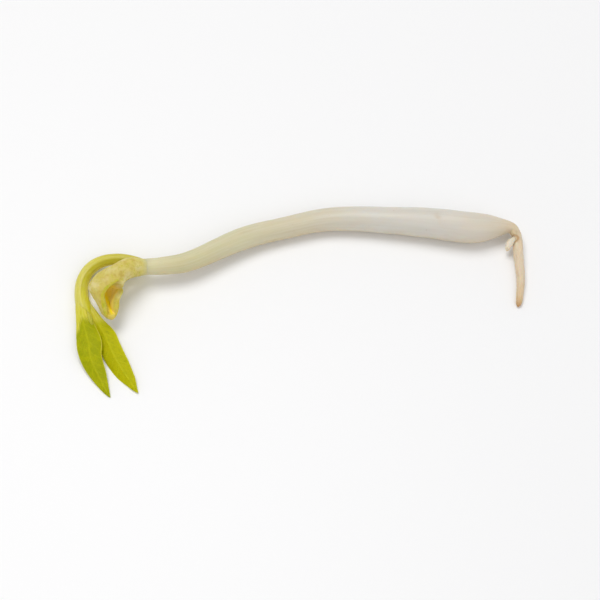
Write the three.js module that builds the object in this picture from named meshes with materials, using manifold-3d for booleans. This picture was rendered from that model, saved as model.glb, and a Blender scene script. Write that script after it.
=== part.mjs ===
// Mung bean sprout, a few days old, lying on its side. Millimetres, +Z up.
//
// The plant is laid down with its thick white stem along +X. The shoot end is at -X: the stem ends in a node that
// carries two seed leaves and a thin shoot, which arches over and hangs its first pair of folded leaves towards -Y.
// The root end is at +X: the stem tapers quickly into a thin taproot that turns down towards -Y, with one nub of a
// side root near its top. The sprout rests on the underside of its stem, on the bend of the shoot with the lower seed
// leaf, and on the tips of its leaves and root. The origin is at the middle of its outline, on the surface it rests on.
//
// Every organ is a tapering, bent body: a closed surface of revolution whose rings are carried along a smooth curve.

import * as THREE from 'three';
import { mergeVertices } from 'three/addons/utils/BufferGeometryUtils.js';
import Module from 'manifold-3d';

const wasm = await Module();
wasm.setup();

// ---------------------------------------------------------------------------------------------------------------
// Driving dimensions
// ---------------------------------------------------------------------------------------------------------------

const SIZE = 1;                    // 1 is a sprout about 54 mm long, with a stem 3.8 mm thick
const JOIN_GAP = 0.08;             // clearance where one organ meets the next
const UPPERMOST = new THREE.Vector3(0, -0.5, 0.866);   // the side of the sprout that lies uppermost

const SEED_LEAF_WALL = 0.55;       // thickness of a seed leaf's shell at its open rims
const BLADE_CUP = 0.16;            // how far a leaf blade's edges bend down, as a share of its half-width
const MIDRIB = 0.10;               // height of the midrib on the outside of a leaf blade
const MIDRIB_WIDTH = 0.22;         // half-width of the midrib
const SHOOT_GROOVE = 0.07;         // depth of the groove down the shoot, as a share of its radius

const STEM_FACETS = 20;            // sides of each organ's rings
const ROOT_FACETS = 12;
const ROOTLET_FACETS = 10;
const SHOOT_FACETS = 16;
const SEED_LEAF_FACETS = 30;
const BLADE_FACETS = 20;
const BUD_FACETS = 10;

// Stations along each organ: x, y, z of its middle, half-width across, half-thickness.

// From the node at the shoot end to the collar at the root end.
const HYPOCOTYL = [
  [-18.84, 4.14, 2.36, 0.98, 0.96],
  [-17.67, 4.20, 2.32, 1.03, 1.02],
  [-15.88, 4.44, 2.22, 1.12, 1.12],
  [-14.08, 4.83, 2.10, 1.20, 1.20],
  [-12.15, 5.73, 1.96, 1.25, 1.24],
  [-10.06, 6.97, 1.80, 1.31, 1.29],
  [-8.11, 8.10, 1.66, 1.36, 1.33],
  [-6.35, 8.94, 1.54, 1.38, 1.34],
  [-4.67, 9.54, 1.45, 1.37, 1.35],
  [-2.89, 10.05, 1.39, 1.36, 1.36],
  [-1.02, 10.57, 1.37, 1.37, 1.37],
  [0.86, 11.07, 1.39, 1.40, 1.39],
  [2.72, 11.45, 1.43, 1.43, 1.43],
  [4.78, 11.59, 1.49, 1.48, 1.49],
  [7.10, 11.55, 1.55, 1.54, 1.55],
  [9.25, 11.40, 1.61, 1.60, 1.61],
  [11.40, 11.21, 1.68, 1.69, 1.68],
  [13.55, 11.02, 1.75, 1.78, 1.75],
  [15.69, 10.79, 1.83, 1.86, 1.83],
  [17.86, 10.45, 1.90, 1.92, 1.90],
  [19.99, 10.11, 1.92, 1.93, 1.92],
  [21.59, 10.04, 1.86, 1.88, 1.85],
  [23.05, 10.18, 1.76, 1.64, 1.62],
  [24.17, 10.29, 1.64, 1.30, 1.30],
  [25.05, 10.40, 1.52, 0.98, 0.98],
  [25.74, 10.39, 1.42, 0.76, 0.76],
  [26.26, 10.19, 1.34, 0.66, 0.66],
];

const TAPROOT = [
  [26.17, 10.23, 1.33, 0.60, 0.60],
  [26.54, 9.56, 1.24, 0.58, 0.58],
  [26.70, 8.58, 1.13, 0.58, 0.58],
  [26.71, 7.50, 1.00, 0.60, 0.60],
  [26.74, 6.30, 0.86, 0.59, 0.59],
  [26.78, 4.95, 0.73, 0.55, 0.55],
  [26.80, 3.60, 0.61, 0.51, 0.51],
  [26.73, 2.40, 0.50, 0.47, 0.47],
  [26.62, 1.46, 0.42, 0.43, 0.43],
  [26.49, 0.72, 0.37, 0.39, 0.38],
  [26.37, 0.14, 0.29, 0.31, 0.30],
  [26.29, -0.18, 0.25, 0.10, 0.10],
];

const SIDE_ROOTLET = [
  [26.57, 8.88, 1.34, 0.30, 0.30],
  [26.18, 8.56, 1.44, 0.36, 0.36],
  [25.78, 8.17, 1.44, 0.42, 0.42],
  [25.49, 7.69, 1.34, 0.38, 0.38],
  [25.36, 7.33, 1.22, 0.26, 0.26],
  [25.29, 7.13, 1.14, 0.06, 0.06],
];

const EPICOTYL = [
  [-19.19, 4.57, 2.12, 0.58, 0.58],
  [-20.20, 5.20, 1.96, 0.61, 0.60],
  [-21.45, 5.56, 1.78, 0.65, 0.63],
  [-22.75, 5.67, 1.59, 0.68, 0.65],
  [-23.98, 5.52, 1.38, 0.71, 0.67],
  [-25.07, 5.04, 1.16, 0.74, 0.69],
  [-25.91, 4.14, 0.96, 0.77, 0.71],
  [-26.37, 2.91, 0.82, 0.80, 0.72],
  [-26.44, 1.63, 0.74, 0.82, 0.73],
  [-26.28, 0.44, 0.73, 0.86, 0.74],
  [-25.97, -0.53, 0.74, 0.93, 0.72],
  [-25.72, -1.16, 0.74, 0.86, 0.62],
  [-25.48, -1.71, 0.74, 0.64, 0.46],
  [-25.26, -2.19, 0.74, 0.30, 0.24],
];

// Seed leaves have three numbers more: how far the open side is turned from uppermost towards the inside of the
// hook (degrees), how far the rims close over the widest part (degrees), and how far the hollow is opened (0 to 1).
const COTYLEDON_UPPER = [
  [-18.69, 3.73, 2.92, 0.62, 0.46, 100, 20, 0],
  [-19.28, 3.71, 3.08, 0.92, 0.76, 100, 20, 0],
  [-20.03, 3.61, 3.30, 1.20, 1.02, 100, 20, 0],
  [-20.72, 3.22, 3.48, 1.25, 1.18, 98, 22, 0],
  [-21.37, 2.72, 3.62, 1.23, 1.30, 95, 24, 0],
  [-21.90, 2.17, 3.72, 1.35, 1.42, 76, 38, 0],
  [-22.27, 1.47, 3.76, 1.78, 1.54, 72, 40, 0.15],
  [-22.68, 0.91, 3.70, 2.08, 1.62, 69, 37, 0.72],
  [-23.10, 0.25, 3.54, 2.15, 1.62, 62, 36, 1],
  [-23.07, -0.44, 3.28, 1.80, 1.52, 48, 32, 1],
  [-22.83, -1.09, 2.98, 1.36, 1.32, 38, 27, 1],
  [-22.64, -1.74, 2.68, 1.18, 1.08, 28, 24, 1],
  [-22.52, -2.31, 2.42, 0.96, 0.82, 26, 20, 0.85],
  [-22.39, -2.75, 2.22, 0.58, 0.50, 26, 18, 0.3],
  [-22.33, -3.02, 2.12, 0.09, 0.08, 26, 18, 0],
];

const COTYLEDON_LOWER = [
  [-18.86, 4.41, 1.56, 0.40, 0.34, 180, 15, 0],
  [-19.61, 4.51, 1.34, 0.80, 0.60, 180, 15, 0],
  [-20.61, 4.49, 1.08, 1.00, 0.82, 175, 18, 0.3],
  [-21.58, 4.17, 0.91, 1.10, 0.92, 170, 20, 0.7],
  [-22.39, 3.43, 0.84, 1.14, 0.94, 160, 20, 1],
  [-22.85, 2.39, 0.81, 1.12, 0.90, 150, 20, 1],
  [-22.95, 1.35, 0.73, 0.98, 0.80, 145, 20, 1],
  [-22.83, 0.46, 0.58, 0.76, 0.62, 140, 20, 0.8],
  [-22.62, -0.15, 0.44, 0.46, 0.40, 140, 18, 0.4],
  [-22.49, -0.52, 0.36, 0.08, 0.08, 140, 18, 0],
];

const FIRST_LEAF_LEFT = [
  [-26.37, -0.30, 0.82, 0.60, 0.54],
  [-26.23, -1.21, 0.96, 0.67, 0.47],
  [-26.04, -2.10, 1.08, 0.76, 0.38],
  [-25.79, -3.01, 1.23, 1.02, 0.25],
  [-25.39, -4.41, 1.30, 1.35, 0.20],
  [-24.98, -5.85, 1.27, 1.53, 0.18],
  [-24.66, -7.25, 1.14, 1.46, 0.17],
  [-24.26, -8.51, 0.93, 1.24, 0.16],
  [-23.74, -9.65, 0.70, 0.98, 0.15],
  [-23.20, -10.70, 0.44, 0.68, 0.14],
  [-22.67, -11.64, 0.22, 0.36, 0.13],
  [-22.24, -12.29, 0.08, 0.08, 0.08],
];

const FIRST_LEAF_RIGHT = [
  [-25.43, -0.64, 0.68, 0.56, 0.50],
  [-24.96, -1.40, 0.69, 0.62, 0.44],
  [-24.46, -2.27, 0.70, 0.72, 0.35],
  [-23.98, -3.15, 0.74, 0.92, 0.24],
  [-23.22, -4.50, 0.72, 1.26, 0.19],
  [-22.60, -5.87, 0.69, 1.27, 0.17],
  [-22.00, -7.16, 0.65, 1.28, 0.16],
  [-21.36, -8.30, 0.59, 1.20, 0.16],
  [-20.72, -9.35, 0.50, 1.02, 0.15],
  [-20.03, -10.28, 0.39, 0.74, 0.14],
  [-19.47, -11.15, 0.28, 0.38, 0.13],
  [-19.01, -11.76, 0.19, 0.08, 0.08],
];

const SHOOT_TIP_BUD = [
  [-25.42, -1.51, 1.12, 0.16, 0.14],
  [-25.21, -2.08, 1.28, 0.27, 0.22],
  [-25.02, -2.61, 1.36, 0.28, 0.21],
  [-24.85, -3.07, 1.34, 0.18, 0.15],
  [-24.71, -3.41, 1.27, 0.05, 0.05],
];

// ---------------------------------------------------------------------------------------------------------------
// Rings: each returns a point of the cross-section, [across, up], for a fraction f of the way round
// ---------------------------------------------------------------------------------------------------------------

function roundRing(f, s) {
  const p = f * 2 * Math.PI;
  return [s.a * Math.cos(p), s.b * Math.sin(p)];
}

// The shoot has a shallow groove along its upper side, between the traces of its two leaves.
function shootRing(f, s) {
  const p = f * 2 * Math.PI;
  const groove = 1 - SHOOT_GROOVE * Math.exp(-(((p - Math.PI * 0.5) / 0.35) ** 2));
  return [s.a * groove * Math.cos(p), s.b * groove * Math.sin(p)];
}

// A leaf blade is a thin lens, cupped so that its edges bend down, with a midrib along the upper side.
function bladeRing(f, s) {
  const p = f * 2 * Math.PI;
  const u = s.a * Math.cos(p);
  const broad = THREE.MathUtils.smoothstep(s.a / Math.max(s.b, 1e-6), 2, 4);
  let v = s.b * Math.sign(Math.sin(p)) * Math.abs(Math.sin(p)) ** 0.7;
  v -= broad * BLADE_CUP * s.a * Math.cos(p) ** 2;
  if (Math.sin(p) > 0) v += broad * MIDRIB * Math.exp(-((u / MIDRIB_WIDTH) ** 2));
  return [u, v];
}

// A seed leaf is a boat: a rounded back, two rims and a hollow between them.
function boatRing(f, s) {
  const opening = THREE.MathUtils.degToRad(90 + s.turn);
  const half = THREE.MathUtils.degToRad(90 - s.rim);
  const near = opening - half;     // the two rims, as angles round the ellipse
  const far = opening + half;
  const wall = Math.min(SEED_LEAF_WALL, 0.6 * Math.min(s.a, s.b));
  const outer = 0.56;              // share of the ring's points on the back
  const edge = 0.06 / (1 - outer); // and on each rim
  const on = (angle, less) => [(s.a - less) * Math.cos(angle), (s.b - less) * Math.sin(angle)];
  const between = (p, q, t) => [THREE.MathUtils.lerp(p[0], q[0], t), THREE.MathUtils.lerp(p[1], q[1], t)];
  if (f < outer) return on(near - 2 * (Math.PI - half) * (f / outer), 0);
  const g = (f - outer) / (1 - outer);
  const q = THREE.MathUtils.clamp((g - edge) / (1 - 2 * edge), 0, 1);
  const lid = between(between(on(far, 0), on(near, 0), q), on(far - 2 * half * q, 0), 1 - 0.45 * s.open);
  const floor = on(far - 2 * Math.PI + 2 * (Math.PI - half) * q, wall);
  const inside = between(lid, floor, s.open);
  // round the rim over, between the back and the hollow
  const w = g < edge ? g / edge : g > 1 - edge ? (1 - g) / edge : 1;
  const p = between(on(g < 0.5 ? far : near, 0), inside, w);
  const swell = w < 1 ? 0.5 * wall * Math.sin(Math.PI * w) * s.open : 0;
  return [p[0] + swell * Math.cos(opening), p[1] + swell * Math.sin(opening)];
}

// ---------------------------------------------------------------------------------------------------------------
// Bodies
// ---------------------------------------------------------------------------------------------------------------

// A closed body along the stations. The rings of a surface of revolution are moved onto the curve one by one, turned
// square to it with the sprout's uppermost side kept up. grow makes a copy that is larger all round. A longer reach turns
// the rings more gradually than the curve, so that they don't bunch up inside a sharp bend.
function organ(stations, ring, { facets, per = 2, startCap = 0, endCap = 0, grow = 0, reach = 0.004 } = {}) {
  const middle = new THREE.CatmullRomCurve3(stations.map((s) => new THREE.Vector3(s[0], s[1], s[2])), false, 'catmullrom', 0.5);
  const width = new THREE.CatmullRomCurve3(stations.map((s) => new THREE.Vector3(s[3], s[4], 0)), false, 'catmullrom', 0.5);
  const extra = new THREE.CatmullRomCurve3(stations.map((s) => new THREE.Vector3(s[5] ?? 0, s[6] ?? 0, s[7] ?? 0)), false, 'catmullrom', 0.5);

  // Positions of the rings: evenly over the stations, with domes of four rings at the two ends.
  const rings = [];
  const CAP_RINGS = 4;
  const body = (stations.length - 1) * per;
  for (let i = 0; i < CAP_RINGS; i++) rings.push({ t: 0, dome: Math.cos((1 - i / CAP_RINGS) * Math.PI / 2), out: -startCap * Math.sin((1 - i / CAP_RINGS) * Math.PI / 2) });
  for (let i = 0; i <= body; i++) rings.push({ t: i / body, dome: 1, out: 0 });
  for (let i = CAP_RINGS - 1; i >= 0; i--) rings.push({ t: 1, dome: Math.cos((1 - i / CAP_RINGS) * Math.PI / 2), out: endCap * Math.sin((1 - i / CAP_RINGS) * Math.PI / 2) });
  rings[0].dome = 0;
  rings[rings.length - 1].dome = 0;

  const profile = rings.map((r, j) => new THREE.Vector2(r.dome, j));
  const geometry = new THREE.LatheGeometry(profile, facets);
  const position = geometry.attributes.position;
  const tangent = new THREE.Vector3();
  const up = new THREE.Vector3();
  const across = new THREE.Vector3();
  const point = new THREE.Vector3();
  for (let j = 0; j < rings.length; j++) {
    const r = rings[j];
    const t = THREE.MathUtils.clamp(r.t, 0, 1);
    middle.getPoint(t, point);
    tangent.subVectors(middle.getPoint(Math.min(1, t + reach)), middle.getPoint(Math.max(0, t - reach))).normalize();
    up.copy(UPPERMOST).addScaledVector(tangent, -UPPERMOST.dot(tangent)).normalize();
    across.crossVectors(tangent, up);
    const w = width.getPoint(t);
    const e = extra.getPoint(t);
    const s = { a: w.x + grow, b: w.y + grow, turn: e.x, rim: e.y, open: THREE.MathUtils.clamp(e.z, 0, 1) };
    const out = r.out + Math.sign(r.out) * grow * Math.abs(r.out / (r.out < 0 ? startCap : endCap || 1));
    for (let i = 0; i <= facets; i++) {
      const [u, v] = r.dome === 0 ? [0, 0] : ring((i % facets) / facets, s);
      position.setXYZ(i * rings.length + j,
        point.x + tangent.x * out + (across.x * u + up.x * v) * r.dome,
        point.y + tangent.y * out + (across.y * u + up.y * v) * r.dome,
        point.z + tangent.z * out + (across.z * u + up.z * v) * r.dome);
    }
  }
  geometry.deleteAttribute('normal');
  geometry.deleteAttribute('uv');
  const closed = mergeVertices(geometry, 1e-5);
  const index = [];
  const source = closed.index.array;
  for (let i = 0; i < source.length; i += 3) {
    const [a, b, c] = [source[i], source[i + 1], source[i + 2]];
    if (a !== b && b !== c && c !== a) index.push(a, b, c);
  }
  if (signedVolume(closed.attributes.position.array, index) < 0) {
    for (let i = 0; i < index.length; i += 3) [index[i + 1], index[i + 2]] = [index[i + 2], index[i + 1]];
  }
  closed.setIndex(index);
  return closed;
}

function signedVolume(p, index) {
  let sum = 0;
  for (let i = 0; i < index.length; i += 3) {
    const a = index[i] * 3, b = index[i + 1] * 3, c = index[i + 2] * 3;
    sum += p[a] * (p[b + 1] * p[c + 2] - p[b + 2] * p[c + 1])
         + p[a + 1] * (p[b + 2] * p[c] - p[b] * p[c + 2])
         + p[a + 2] * (p[b] * p[c + 1] - p[b + 1] * p[c]);
  }
  return sum / 6;
}

function toSolid(geometry) {
  return new wasm.Manifold(new wasm.Mesh({
    numProp: 3,
    vertProperties: new Float32Array(geometry.attributes.position.array),
    triVerts: new Uint32Array(geometry.index.array),
  }));
}

// The largest body of a solid, as a geometry: slivers that a cut leaves loose are dropped.
function toGeometry(solid) {
  const pieces = solid.decompose();
  let largest = pieces[0];
  for (const p of pieces) if (p.volume() > largest.volume()) largest = p;
  const mesh = largest.getMesh();
  const geometry = new THREE.BufferGeometry();
  geometry.setAttribute('position', new THREE.BufferAttribute(new Float32Array(mesh.vertProperties), 3));
  geometry.setIndex(new THREE.BufferAttribute(new Uint32Array(mesh.triVerts), 1));
  return geometry;
}

// An organ, cut back where it meets the organs that carry it.
function meeting(geometry, ...carriers) {
  let solid = toSolid(geometry);
  for (const c of carriers) solid = solid.subtract(toSolid(c));
  return toGeometry(solid);
}

// ---------------------------------------------------------------------------------------------------------------
// The sprout
// ---------------------------------------------------------------------------------------------------------------

const stem = { facets: STEM_FACETS, startCap: 0.45, endCap: 0.35 };
const root = { facets: ROOT_FACETS, startCap: 0.30, endCap: 0.05 };
const nub = { facets: ROOTLET_FACETS, startCap: 0.10, endCap: 0.04 };
const shoot = { facets: SHOOT_FACETS, startCap: 0.10, endCap: 0.10 };
const boat = { facets: SEED_LEAF_FACETS, startCap: 0.15, endCap: 0.06, per: 3, reach: 0.21 };
const blade = { facets: BLADE_FACETS, startCap: 0.08, endCap: 0.05 };
const tip = { facets: BUD_FACETS, startCap: 0.08, endCap: 0.05 };

const grown = (stations, ring, options) => organ(stations, ring, { ...options, grow: JOIN_GAP });

const hypocotyl = organ(HYPOCOTYL, roundRing, stem);
const stemClear = grown(HYPOCOTYL, roundRing, stem);

const epicotyl = meeting(organ(EPICOTYL, shootRing, shoot), stemClear);
const shootClear = grown(EPICOTYL, shootRing, shoot);

const cotyledonUpper = meeting(organ(COTYLEDON_UPPER, boatRing, boat), stemClear, shootClear);
const cotyledonLower = meeting(organ(COTYLEDON_LOWER, boatRing, boat), stemClear, shootClear, grown(COTYLEDON_UPPER, roundRing, { ...boat, per: 2 }));

const leafLeft = meeting(organ(FIRST_LEAF_LEFT, bladeRing, blade), shootClear);
const leafRight = meeting(organ(FIRST_LEAF_RIGHT, bladeRing, blade), shootClear, grown(FIRST_LEAF_LEFT, bladeRing, blade));
const bud = meeting(organ(SHOOT_TIP_BUD, roundRing, tip), shootClear, grown(FIRST_LEAF_LEFT, bladeRing, blade), grown(FIRST_LEAF_RIGHT, bladeRing, blade));

const taproot = meeting(organ(TAPROOT, roundRing, root), stemClear);
const sideRootlet = meeting(organ(SIDE_ROOTLET, roundRing, nub), stemClear, grown(TAPROOT, roundRing, root));

const parts = [
  ['hypocotyl', hypocotyl, 0xdcd6c6, 0.34],
  ['taproot', taproot, 0xd8c4a0, 0.50],
  ['side_rootlet', sideRootlet, 0xe2d6bd, 0.48],
  ['epicotyl', epicotyl, 0xc6bd48, 0.38],
  ['cotyledon_upper', cotyledonUpper, 0xcfbb68, 0.45],
  ['cotyledon_lower', cotyledonLower, 0xcab263, 0.47],
  ['first_leaf_left', leafLeft, 0xa5a805, 0.42],
  ['first_leaf_right', leafRight, 0xb1af0c, 0.42],
  ['shoot_tip_bud', bud, 0xbdb62a, 0.45],
];

const sprout = new THREE.Group();
sprout.name = 'mung_bean_sprout';
for (const [name, geometry, color, roughness] of parts) {
  const mesh = new THREE.Mesh(geometry, new THREE.MeshStandardMaterial({ color, roughness, metalness: 0 }));
  mesh.name = name;
  sprout.add(mesh);
}

// Rest the lowest point on the surface, with the outline's middle over the origin.
const box = new THREE.Box3().setFromObject(sprout);
sprout.scale.setScalar(SIZE);
sprout.position.set(-(box.min.x + box.max.x) / 2, -(box.min.y + box.max.y) / 2, -box.min.z).multiplyScalar(SIZE);

export default sprout;
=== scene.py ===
"""Mung bean sprout: the looks of one sprout lying on a pale surface, built organ by organ as bent, tapering bodies."""

import math

import bpy
import numpy as np
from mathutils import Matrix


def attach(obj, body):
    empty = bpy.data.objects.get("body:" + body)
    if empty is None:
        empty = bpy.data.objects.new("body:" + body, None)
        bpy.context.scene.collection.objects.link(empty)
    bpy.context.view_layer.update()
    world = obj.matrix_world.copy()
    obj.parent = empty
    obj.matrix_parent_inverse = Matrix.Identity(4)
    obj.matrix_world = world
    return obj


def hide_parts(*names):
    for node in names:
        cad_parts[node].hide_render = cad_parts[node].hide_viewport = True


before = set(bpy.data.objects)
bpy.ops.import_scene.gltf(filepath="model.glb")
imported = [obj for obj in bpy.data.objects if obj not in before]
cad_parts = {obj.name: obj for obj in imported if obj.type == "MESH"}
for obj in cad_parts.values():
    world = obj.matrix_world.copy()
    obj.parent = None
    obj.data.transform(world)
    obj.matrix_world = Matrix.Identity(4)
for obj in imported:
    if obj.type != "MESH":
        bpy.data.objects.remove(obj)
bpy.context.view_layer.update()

MM = 0.001
SHIFT = np.array([-0.036, -0.369, 0.014])     # mm, from the tables' frame to the row frame
UPPERMOST = np.array([0.0, -0.5, 0.866])      # the side of the sprout that lies uppermost

# Stations along each organ, in mm: x, y, z of its middle, half-width across, half-thickness.
HYPOCOTYL = [
    (-19.71, 4.36, 2.24, 0.66, 0.66),
    (-19.28, 4.25, 2.29, 0.88, 0.88),
    (-18.79, 4.18, 2.32, 0.97, 0.96),
    (-17.67, 4.20, 2.32, 1.03, 1.02),
    (-15.88, 4.44, 2.22, 1.12, 1.12),
    (-14.08, 4.83, 2.10, 1.20, 1.20),
    (-12.15, 5.73, 1.96, 1.25, 1.24),
    (-10.06, 6.97, 1.80, 1.31, 1.29),
    (-8.11, 8.10, 1.66, 1.36, 1.33),
    (-6.35, 8.94, 1.54, 1.38, 1.34),
    (-4.67, 9.54, 1.45, 1.37, 1.35),
    (-2.89, 10.05, 1.39, 1.36, 1.36),
    (-1.02, 10.57, 1.37, 1.37, 1.37),
    (0.86, 11.07, 1.39, 1.40, 1.39),
    (2.72, 11.45, 1.43, 1.43, 1.43),
    (4.78, 11.59, 1.49, 1.48, 1.49),
    (7.10, 11.55, 1.55, 1.54, 1.55),
    (9.25, 11.40, 1.61, 1.60, 1.61),
    (11.40, 11.21, 1.68, 1.69, 1.68),
    (13.55, 11.02, 1.75, 1.78, 1.75),
    (15.69, 10.79, 1.83, 1.86, 1.83),
    (17.86, 10.45, 1.90, 1.92, 1.90),
    (19.99, 10.11, 1.92, 1.93, 1.92),
    (21.59, 10.04, 1.86, 1.88, 1.85),
    (23.05, 10.18, 1.76, 1.64, 1.62),
    (24.17, 10.29, 1.64, 1.30, 1.30),
    (25.05, 10.40, 1.52, 0.98, 0.98),
    (25.74, 10.39, 1.42, 0.76, 0.76),
    (26.23, 10.19, 1.34, 0.66, 0.66),
    (26.48, 9.72, 1.28, 0.60, 0.60),
    (26.63, 9.08, 1.20, 0.52, 0.52),
    (26.70, 8.50, 1.13, 0.40, 0.40),
]
TAPROOT = [
    (25.62, 10.39, 1.43, 0.46, 0.46),
    (25.99, 10.31, 1.38, 0.54, 0.54),
    (26.28, 10.02, 1.32, 0.57, 0.57),
    (26.54, 9.56, 1.24, 0.58, 0.58),
    (26.70, 8.58, 1.13, 0.58, 0.58),
    (26.71, 7.50, 1.00, 0.60, 0.60),
    (26.74, 6.30, 0.86, 0.59, 0.59),
    (26.78, 4.95, 0.73, 0.55, 0.55),
    (26.80, 3.60, 0.61, 0.51, 0.51),
    (26.73, 2.40, 0.50, 0.47, 0.47),
    (26.62, 1.46, 0.42, 0.43, 0.43),
    (26.49, 0.72, 0.37, 0.39, 0.38),
    (26.37, 0.14, 0.29, 0.31, 0.30),
    (26.29, -0.18, 0.25, 0.10, 0.10),
]
ROOTLET = [
    (26.57, 8.88, 1.34, 0.30, 0.30),
    (26.18, 8.56, 1.44, 0.36, 0.36),
    (25.78, 8.17, 1.44, 0.42, 0.42),
    (25.49, 7.69, 1.34, 0.38, 0.38),
    (25.36, 7.33, 1.22, 0.26, 0.26),
    (25.29, 7.13, 1.14, 0.06, 0.06),
]
EPICOTYL = [
    (-18.32, 4.36, 2.24, 0.66, 0.66),
    (-19.00, 4.59, 2.14, 0.66, 0.64),
    (-19.69, 4.93, 2.05, 0.64, 0.62),
    (-20.20, 5.20, 1.96, 0.61, 0.60),
    (-21.45, 5.56, 1.78, 0.65, 0.63),
    (-22.75, 5.67, 1.59, 0.68, 0.65),
    (-23.98, 5.52, 1.38, 0.71, 0.67),
    (-25.07, 5.04, 1.16, 0.74, 0.69),
    (-25.91, 4.14, 0.96, 0.77, 0.71),
    (-26.37, 2.91, 0.82, 0.80, 0.72),
    (-26.44, 1.63, 0.74, 0.82, 0.73),
    (-26.28, 0.44, 0.73, 0.86, 0.74),
    (-25.97, -0.53, 0.74, 0.93, 0.72),
    (-25.72, -1.16, 0.74, 0.86, 0.62),
    (-25.48, -1.71, 0.74, 0.64, 0.46),
    (-25.26, -2.19, 0.74, 0.30, 0.24),
]
# Seed leaves also give the turn of the open side (deg), the closing of the rims (deg) and the depth of the hollow (0-1).
COTYLEDON_UPPER = [
    (-17.08, 4.28, 2.24, 0.90, 0.88, 100, 20, 0),
    (-17.83, 4.23, 2.27, 0.93, 0.91, 100, 20, 0),
    (-18.43, 4.18, 2.33, 0.95, 0.93, 100, 20, 0),
    (-18.83, 4.08, 2.46, 0.98, 0.94, 100, 20, 0),
    (-19.40, 3.88, 2.80, 1.04, 0.96, 100, 20, 0),
    (-19.99, 3.66, 3.15, 1.18, 1.04, 100, 20, 0),
    (-20.72, 3.22, 3.48, 1.25, 1.18, 98, 22, 0),
    (-21.37, 2.72, 3.62, 1.23, 1.30, 95, 24, 0),
    (-21.90, 2.17, 3.72, 1.35, 1.42, 76, 38, 0),
    (-22.27, 1.47, 3.76, 1.78, 1.54, 72, 40, 0.15),
    (-22.68, 0.91, 3.70, 2.08, 1.62, 69, 37, 0.72),
    (-23.10, 0.25, 3.54, 2.15, 1.62, 62, 36, 1),
    (-23.07, -0.44, 3.28, 1.80, 1.52, 48, 32, 1),
    (-22.83, -1.09, 2.98, 1.36, 1.32, 38, 27, 1),
    (-22.64, -1.74, 2.68, 1.18, 1.08, 28, 24, 1),
    (-22.52, -2.31, 2.42, 0.96, 0.82, 26, 20, 0.85),
    (-22.41, -2.68, 2.25, 0.66, 0.56, 26, 18, 0.3),
    (-22.36, -2.88, 2.16, 0.44, 0.38, 26, 18, 0.1),
    (-22.32, -3.00, 2.12, 0.20, 0.18, 26, 18, 0),
]
COTYLEDON_LOWER = [
    (-17.53, 4.24, 2.20, 0.76, 0.74, 180, 15, 0),
    (-18.08, 4.27, 2.12, 0.86, 0.82, 180, 15, 0),
    (-18.64, 4.32, 1.94, 0.92, 0.86, 180, 15, 0),
    (-19.28, 4.39, 1.66, 0.95, 0.84, 180, 15, 0),
    (-19.91, 4.47, 1.34, 0.98, 0.80, 180, 15, 0),
    (-20.61, 4.49, 1.08, 1.00, 0.82, 175, 18, 0.3),
    (-21.58, 4.17, 0.91, 1.10, 0.92, 170, 20, 0.7),
    (-22.39, 3.43, 0.84, 1.14, 0.94, 160, 20, 1),
    (-22.85, 2.39, 0.81, 1.12, 0.90, 150, 20, 1),
    (-22.95, 1.35, 0.73, 0.98, 0.80, 145, 20, 1),
    (-22.83, 0.46, 0.58, 0.76, 0.62, 140, 20, 0.6),
    (-22.62, -0.15, 0.44, 0.46, 0.40, 140, 18, 0.12),
    (-22.49, -0.52, 0.36, 0.08, 0.08, 140, 18, 0),
]
LEAF_LEFT = [
    (-26.37, 0.52, 0.72, 0.48, 0.48),
    (-26.37, -0.30, 0.82, 0.60, 0.54),
    (-26.23, -1.21, 0.96, 0.67, 0.47),
    (-26.04, -2.10, 1.08, 0.76, 0.38),
    (-25.79, -3.01, 1.23, 1.02, 0.25),
    (-25.39, -4.41, 1.30, 1.35, 0.20),
    (-24.98, -5.85, 1.27, 1.53, 0.18),
    (-24.77, -7.25, 1.14, 1.36, 0.17),
    (-24.33, -8.51, 0.93, 1.19, 0.16),
    (-23.74, -9.65, 0.70, 0.98, 0.15),
    (-23.20, -10.70, 0.44, 0.68, 0.14),
    (-22.67, -11.64, 0.22, 0.36, 0.13),
    (-22.24, -12.29, 0.08, 0.08, 0.08),
]
LEAF_RIGHT = [
    (-25.84, 0.13, 0.68, 0.46, 0.48),
    (-25.43, -0.64, 0.68, 0.56, 0.50),
    (-24.96, -1.40, 0.69, 0.62, 0.44),
    (-24.46, -2.27, 0.70, 0.72, 0.35),
    (-23.98, -3.15, 0.74, 0.92, 0.24),
    (-23.22, -4.50, 0.72, 1.26, 0.19),
    (-22.60, -5.87, 0.69, 1.27, 0.17),
    (-22.00, -7.16, 0.65, 1.28, 0.16),
    (-21.36, -8.30, 0.59, 1.20, 0.16),
    (-20.72, -9.35, 0.50, 1.02, 0.15),
    (-20.03, -10.28, 0.39, 0.74, 0.14),
    (-19.47, -11.15, 0.28, 0.38, 0.13),
    (-19.01, -11.76, 0.19, 0.08, 0.08),
]
BUD = [
    (-25.42, -1.51, 1.12, 0.16, 0.14),
    (-25.21, -2.08, 1.28, 0.27, 0.22),
    (-25.02, -2.61, 1.36, 0.28, 0.21),
    (-24.85, -3.07, 1.34, 0.18, 0.15),
    (-24.71, -3.41, 1.27, 0.05, 0.05),
]


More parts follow.
